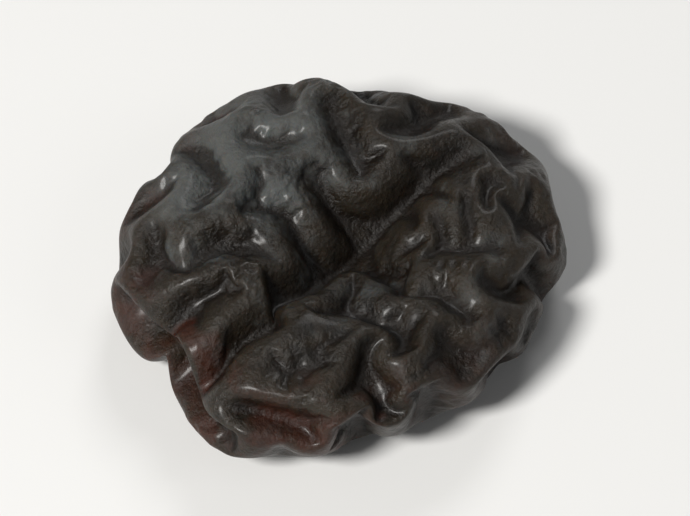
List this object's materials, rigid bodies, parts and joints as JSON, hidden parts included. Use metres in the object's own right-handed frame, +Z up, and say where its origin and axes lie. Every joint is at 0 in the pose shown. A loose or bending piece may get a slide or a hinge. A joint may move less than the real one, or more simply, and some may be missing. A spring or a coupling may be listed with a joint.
{
  "type": "dried apricot",
  "caption": "Whole dried apricot with its stone removed: a flat, folded fruit with a seam, a sunken cheek and a slit at the stem end.",
  "frame": {"origin": "on the surface that the fruit lies on, under the middle of its outline", "axes": "+Z up, through the flat of the fruit, and +X from the stem end with its slit to the tip"},
  "size_m": [0.0396, 0.036, 0.0115],
  "materials": {
    "dried_skin": "satin"
  },
  "bodies": {
    "root": {"apricot": "dried_skin"}
  },
  "joints": []
}
